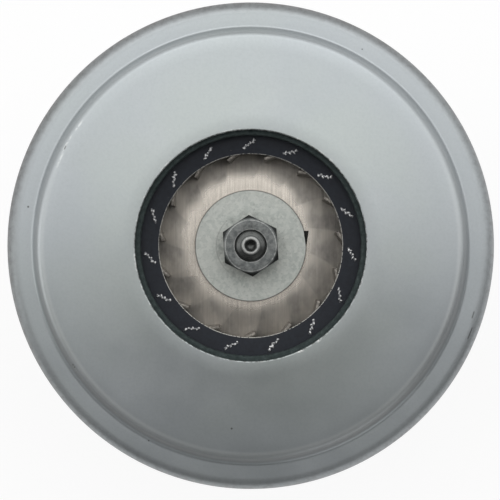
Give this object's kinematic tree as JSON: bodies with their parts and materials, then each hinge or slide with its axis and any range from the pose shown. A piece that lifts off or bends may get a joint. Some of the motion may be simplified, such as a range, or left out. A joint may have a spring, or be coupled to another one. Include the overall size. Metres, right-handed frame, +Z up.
{
  "type": "vacuum cleaner motor unit",
  "caption": "Dry vacuum cleaner motor with a closed impeller under a stepped round cover and a universal motor behind.",
  "frame": {"origin": "middle of the rear bearing boss's end face, on the shaft's axis", "axes": "+Z up the shaft to the air inlet, +X through the right brush, +Y towards the top of the picture"},
  "size_m": [0.13, 0.13, 0.112],
  "materials": {
    "cover_paint": "satin silver paint on pressed steel",
    "housing_steel": "zinc-plated drawn steel",
    "seal_felt": "dark grey-green felt",
    "diffuser_plastic": "moulded, matt black",
    "plate_aluminium": "rolled sheet",
    "shroud_black": "black coating",
    "washer_steel": "matt galvanised",
    "nut_steel": "dark oiled steel",
    "shaft_steel": "ground steel",
    "bearing_steel": "ground and polished",
    "spring_steel": "spring steel",
    "laminations": "varnished electrical steel",
    "copper_winding": "enamelled copper wire",
    "commutator_copper": "turned copper bars",
    "brush_carbon": "matt carbon",
    "holder_plastic": "moulded, matt",
    "brass_sheet": "bright brass",
    "screw_steel": "zinc-plated"
  },
  "bodies": {
    "casing": {"fan_cover": "cover_paint", "inlet_seal": "seal_felt", "diffuser": "diffuser_plastic", "fan_end_bracket": "housing_steel", "motor_housing": "housing_steel", "housing_screws": "screw_steel", "field_core": "laminations", "field_coil_back": "copper_winding", "field_coil_front": "copper_winding", "bearing_outer_rings": "bearing_steel", "bearing_preload_spring": "spring_steel", "brush_holder_right": "holder_plastic", "brush_holder_left": "holder_plastic", "brush_tube_right": "brass_sheet", "brush_tube_left": "brass_sheet", "brush_spring_right": "spring_steel", "brush_spring_left": "spring_steel", "terminal_right": "brass_sheet", "terminal_left": "brass_sheet", "brush_holder_screws": "screw_steel"},
    "rotor": {"rotor_shaft": "shaft_steel", "bearing_inner_rings": "bearing_steel", "armature_core": "laminations", "armature_winding": "copper_winding", "commutator": "commutator_copper", "impeller_spacer": "shaft_steel", "impeller_back_plate": "plate_aluminium", "impeller_vanes": "plate_aluminium", "impeller_shroud": "shroud_black", "impeller_washer": "washer_steel", "impeller_nut": "nut_steel"},
    "brush_right": {"carbon_brush_right": "brush_carbon"},
    "brush_left": {"carbon_brush_left": "brush_carbon"}
  },
  "joints": [
    {"name": "rotor_spin", "type": "hinge", "parent": "casing", "child": "rotor", "pos_m": [0, 0, 0], "axis": [0, 0, 1], "continuous": true},
    {"name": "brush_slide_right", "type": "slide", "parent": "casing", "child": "brush_right", "axis": [1, 0, 0], "range_m": [0, 0.006], "stiffness_N_per_m": 80, "springref_m": -0.03, "deforming": ["brush_spring_right"]},
    {"name": "brush_slide_left", "type": "slide", "parent": "casing", "child": "brush_left", "axis": [-1, 0, 0], "range_m": [0, 0.006], "stiffness_N_per_m": 80, "springref_m": -0.03, "deforming": ["brush_spring_left"]}
  ]
}
